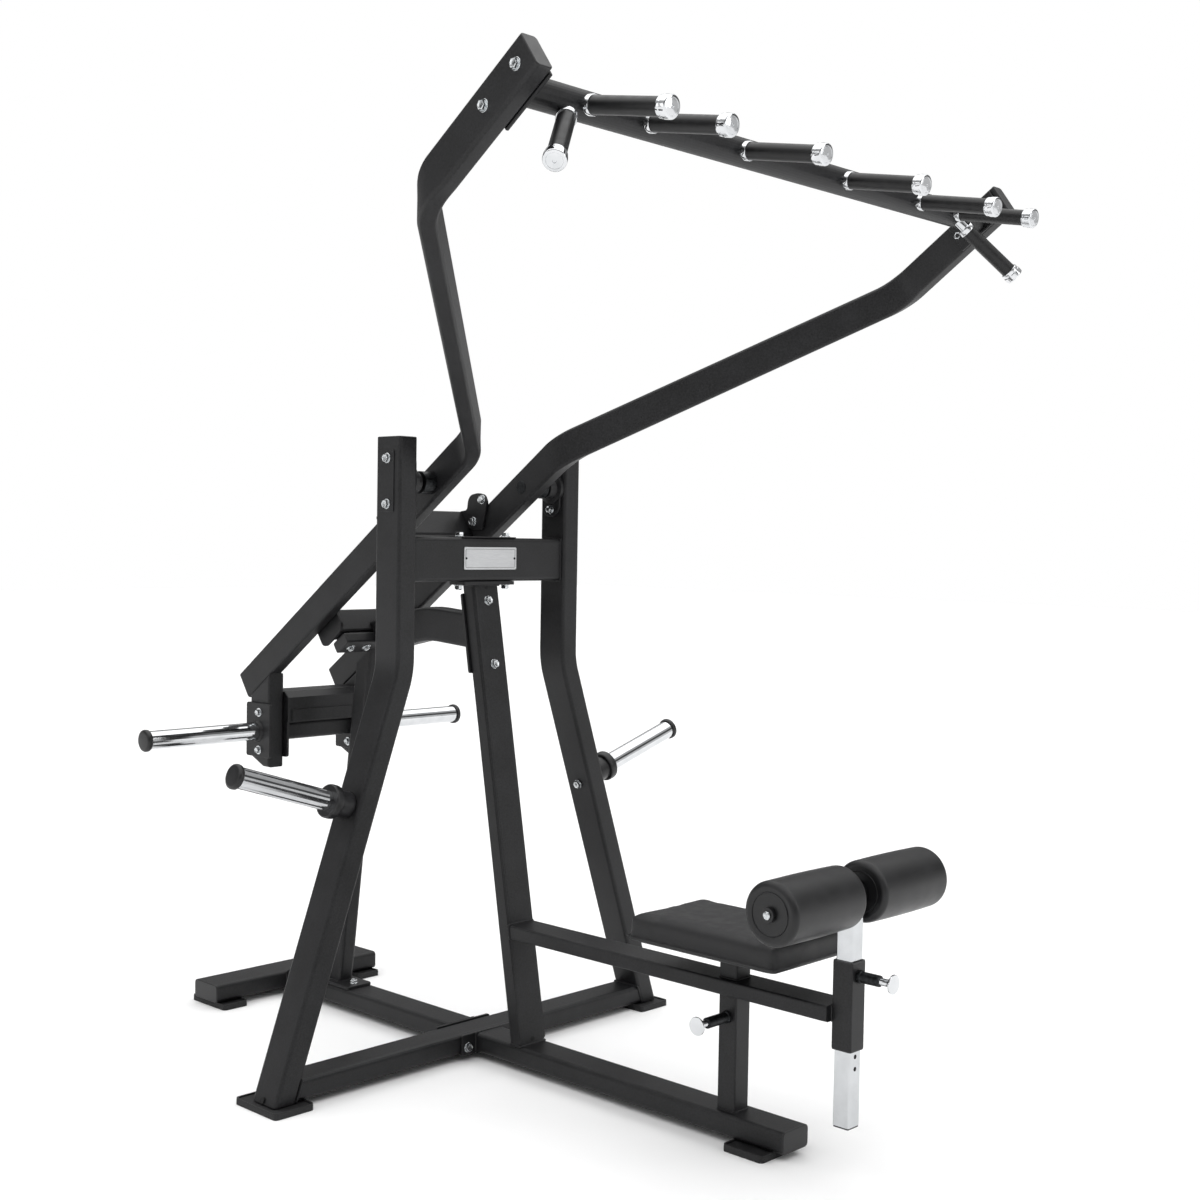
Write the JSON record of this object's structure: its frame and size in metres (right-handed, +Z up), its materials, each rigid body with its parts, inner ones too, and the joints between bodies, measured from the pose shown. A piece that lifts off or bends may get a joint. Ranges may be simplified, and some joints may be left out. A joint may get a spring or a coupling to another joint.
{
  "type": "plate-loaded lat pulldown machine",
  "caption": "Plate-loaded lever lat pulldown gym machine with a splayed steel frame, a pivoting twin-arm pull bar with handgrips, an adjustable seat and padded thigh rollers.",
  "frame": {"origin": "on the floor, under the centre of the machine's bounding box", "axes": "+Z up, -Y towards the seat and thigh rollers, +Y towards the plate sleeves, +X to the side; the machine is symmetric about X = 0 but for the seat's pull pin"},
  "size_m": [1.66, 2.1681, 2.2205],
  "materials": {
    "frame_paint": "near-black fine-textured powder coat, satin",
    "chrome": "polished chrome plate",
    "rubber": "matt black rubber",
    "plate": "blank silver-grey plate",
    "vinyl": "black upholstery vinyl, light sheen",
    "foam": "black vinyl-skinned foam"
  },
  "bodies": {
    "frame": {"base_cross_beam": "frame_paint", "base_front_beam": "frame_paint", "base_rear_beam": "frame_paint", "rear_foot_beam": "frame_paint", "foot_front": "rubber", "foot_left": "rubber", "foot_right": "rubber", "foot_rear_left": "rubber", "foot_rear_right": "rubber", "post_left": "frame_paint", "post_right": "frame_paint", "upper_crossbeam": "frame_paint", "nameplate": "plate", "strut": "frame_paint", "spine": "frame_paint", "rear_post": "frame_paint", "stop_beam": "frame_paint", "stop_pad_left": "rubber", "stop_pad_right": "rubber", "bearing_left": "frame_paint", "bearing_right": "frame_paint", "storage_sleeve_left": "chrome", "storage_sleeve_right": "chrome", "seat_rail": "frame_paint", "seat_outer_post": "frame_paint", "thigh_sleeve": "frame_paint"},
    "pull_arm": {"arm_left": "frame_paint", "arm_right": "frame_paint", "lever_bracket_left": "frame_paint", "lever_bracket_right": "frame_paint", "upper_tie": "frame_paint", "middle_tie": "frame_paint", "lower_tie": "frame_paint", "counterweight": "frame_paint", "weight_sleeve_left": "chrome", "weight_sleeve_right": "chrome", "pivot_shaft_left": "chrome", "pivot_shaft_right": "chrome", "pull_bar": "frame_paint", "bar_flange_left": "frame_paint", "bar_flange_right": "frame_paint", "grip_1": "rubber", "grip_2": "rubber", "grip_3": "rubber", "grip_4": "rubber", "grip_5": "rubber", "grip_6": "rubber", "grip_7": "rubber", "grip_8": "rubber"},
    "seat_carriage": {"seat_inner_post": "chrome", "seat_plate": "frame_paint", "seat_cushion": "vinyl"},
    "thigh_carriage": {"thigh_post": "chrome", "axle_holder": "chrome", "roller_axle": "chrome"},
    "roller_left": {"roller_left": "foam"},
    "roller_right": {"roller_right": "foam"},
    "seat_pin": {"seat_pin": "chrome"},
    "thigh_pin": {"thigh_pin": "chrome"}
  },
  "joints": [
    {"name": "pull_arm_pivot", "type": "hinge", "parent": "frame", "child": "pull_arm", "pos_m": [0, 0.18905, 1.464], "axis": [1, 0, 0], "range_deg": [0, 55]},
    {"name": "seat_height", "type": "slide", "parent": "frame", "child": "seat_carriage", "axis": [0, 0, 1], "range_m": [0, 0.12]},
    {"name": "thigh_height", "type": "slide", "parent": "frame", "child": "thigh_carriage", "axis": [0, 0, 1], "range_m": [-0.03, 0.1]},
    {"name": "roller_left_spin", "type": "hinge", "parent": "thigh_carriage", "child": "roller_left", "pos_m": [0, -0.97145, 0.597], "axis": [1, 0, 0], "continuous": true},
    {"name": "roller_right_spin", "type": "hinge", "parent": "thigh_carriage", "child": "roller_right", "pos_m": [0, -0.97145, 0.597], "axis": [1, 0, 0], "continuous": true},
    {"name": "seat_pin_pull", "type": "slide", "parent": "frame", "child": "seat_pin", "axis": [-1, 0, 0], "range_m": [0, 0.012], "stiffness_N_per_m": 900, "springref_m": -0.006},
    {"name": "thigh_pin_pull", "type": "slide", "parent": "frame", "child": "thigh_pin", "axis": [0, -1, 0], "range_m": [0, 0.012], "stiffness_N_per_m": 900, "springref_m": -0.006}
  ]
}
